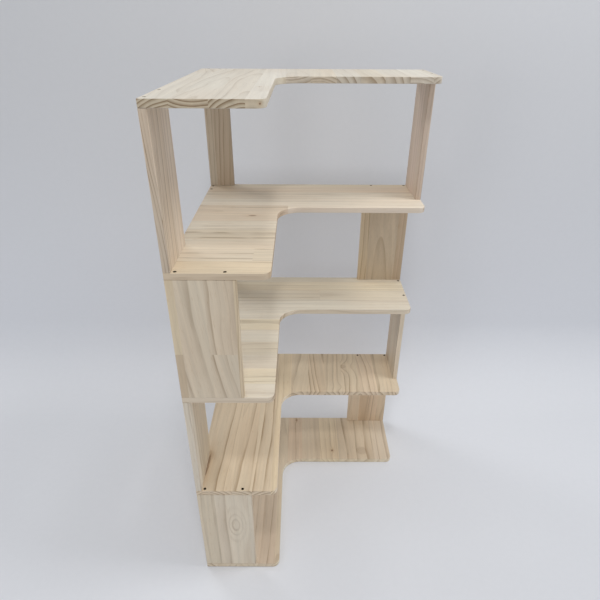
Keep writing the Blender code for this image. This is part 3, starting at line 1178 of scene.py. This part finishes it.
def paper():
    """One sweep of paper, with painted shade that darkens it a little up the wall, and clear from behind."""
    sheet = Shader("studio paper")
    place = sheet.node("TexCoord", out="Object")
    height = sheet.split(place)[Z]
    tooth = sheet.noise(place, TOOTH_SCALE, detail=3.0)
    colour = sheet.mix(sheet.ease(height, *PAPER_HEIGHTS), rgba(FLOOR_PAPER), rgba(PAINTED_SHADE_WALL_PAPER))
    colour = sheet.tinted(tooth, colour, TOOTH_TINT)
    front = sheet.node("BsdfDiffuse", {}, {"Color": colour})
    behind = sheet.node("NewGeometry", out="Backfacing")
    return sheet.finish(sheet.node("MixShader", {}, {0: behind, 1: front, 2: sheet.node("BsdfTransparent")}))


def make_floor(sheet):
    shape = bmesh.new()
    bmesh.ops.create_grid(shape, x_segments=1, y_segments=1, size=STUDIO_HALF)
    bmesh.ops.translate(shape, verts=shape.verts[:], vec=(0, 0, CAD_BOX[0].z - FLOOR_DROP))
    floor = new_object("floor", mesh_of("floor", shape))
    floor.data.materials.append(sheet)
    return floor


def make_wall(sheet):
    """A wall that meets the floor in a cove. It shows, but neither lights nor shades the shelf."""
    shape = bmesh.new()
    base = CAD_BOX[0].z - FLOOR_DROP / 2
    spots = ((WALL_Y - COVE_RADIUS, base), (WALL_Y, base), (WALL_Y, WALL_HEIGHT))
    line = [shape.verts.new((-STUDIO_HALF, y, z)) for y, z in spots]
    edges = [shape.edges.new(pair) for pair in zip(line, line[1:])]
    drawn = bmesh.ops.extrude_edge_only(shape, edges=edges)["geom"]
    moved = [part for part in drawn if isinstance(part, bmesh.types.BMVert)]
    bmesh.ops.translate(shape, verts=moved, vec=(2 * STUDIO_HALF, 0, 0))
    fold = [edge for edge in shape.edges if len(edge.link_faces) == 2]
    rounded(shape, fold, COVE_RADIUS * COVE_SHARE, COVE_STEPS)
    for face in shape.faces:
        face.smooth = True
        if face.normal.y > 0 or face.normal.z < 0:
            face.normal_flip()
    wall = new_object("backdrop", mesh_of("backdrop", shape))
    wall.data.materials.append(sheet)
    wall.visible_diffuse = False
    wall.visible_glossy = False
    wall.visible_transmission = False
    wall.visible_shadow = False
    return wall


def make_studio():
    sheet = paper()
    floor = make_floor(sheet)
    wall = make_wall(sheet)


# Lamps: place, size and power, all turned towards the middle of the shelf
LIT = (0, 0, 0.7)
LAMPS = {
    "ceiling lamp": ((0.0, -1.2, 3.1), 0.3, 12.9),
    "right window": ((1.48, -0.13, 3.07), 1.0, 24.4),
    "left window": ((-1.76, 1.47, 2.31), 1.0, 11.3),
    "front fill": ((-1.83, -2.04, 1.28), 1.0, 6.0),
}
SKY = (0.98, 0.99, 1.0)
SKY_STRENGTH = 0.516


def area_light(name, place, size, power):
    lamp = bpy.data.lights.new(name, "AREA")
    lamp.shape = "DISK"
    lamp.size = size
    lamp.energy = power
    made = new_object(name, lamp)
    made.location = place
    made.rotation_euler = (Vector(LIT) - Vector(place)).to_track_quat("-Z", "Y").to_euler()


def make_lights():
    for name, (place, size, power) in LAMPS.items():
        area_light(name, place, size, power)
    world = bpy.data.worlds.new("studio")
    bpy.context.scene.world = world
    world.use_nodes = True
    background = world.node_tree.nodes["Background"]
    background.inputs["Color"].default_value = rgba(SKY)
    background.inputs["Strength"].default_value = SKY_STRENGTH


def make_camera():
    lens = bpy.data.cameras.new("camera")
    lens.sensor_width = SENSOR
    lens.lens = SENSOR * FOCAL_PIXELS / FRAME_PIXELS
    camera = new_object("camera", lens)
    turn = Matrix.Rotation(-VIEW_RIGHT, 4, "Z") @ Matrix.Rotation(math.pi / 2 - VIEW_DOWN, 4, "X")
    camera.matrix_world = Matrix.Translation(EYE) @ turn @ Matrix.Rotation(VIEW_ROLL, 4, "Z")
    bpy.context.scene.camera = camera
    bpy.context.scene.view_settings.view_transform = "Standard"


make_camera()
make_studio()
make_lights()
wood = pine()
make_boards(wood)
make_uprights(wood)
make_screws(screw_steel())
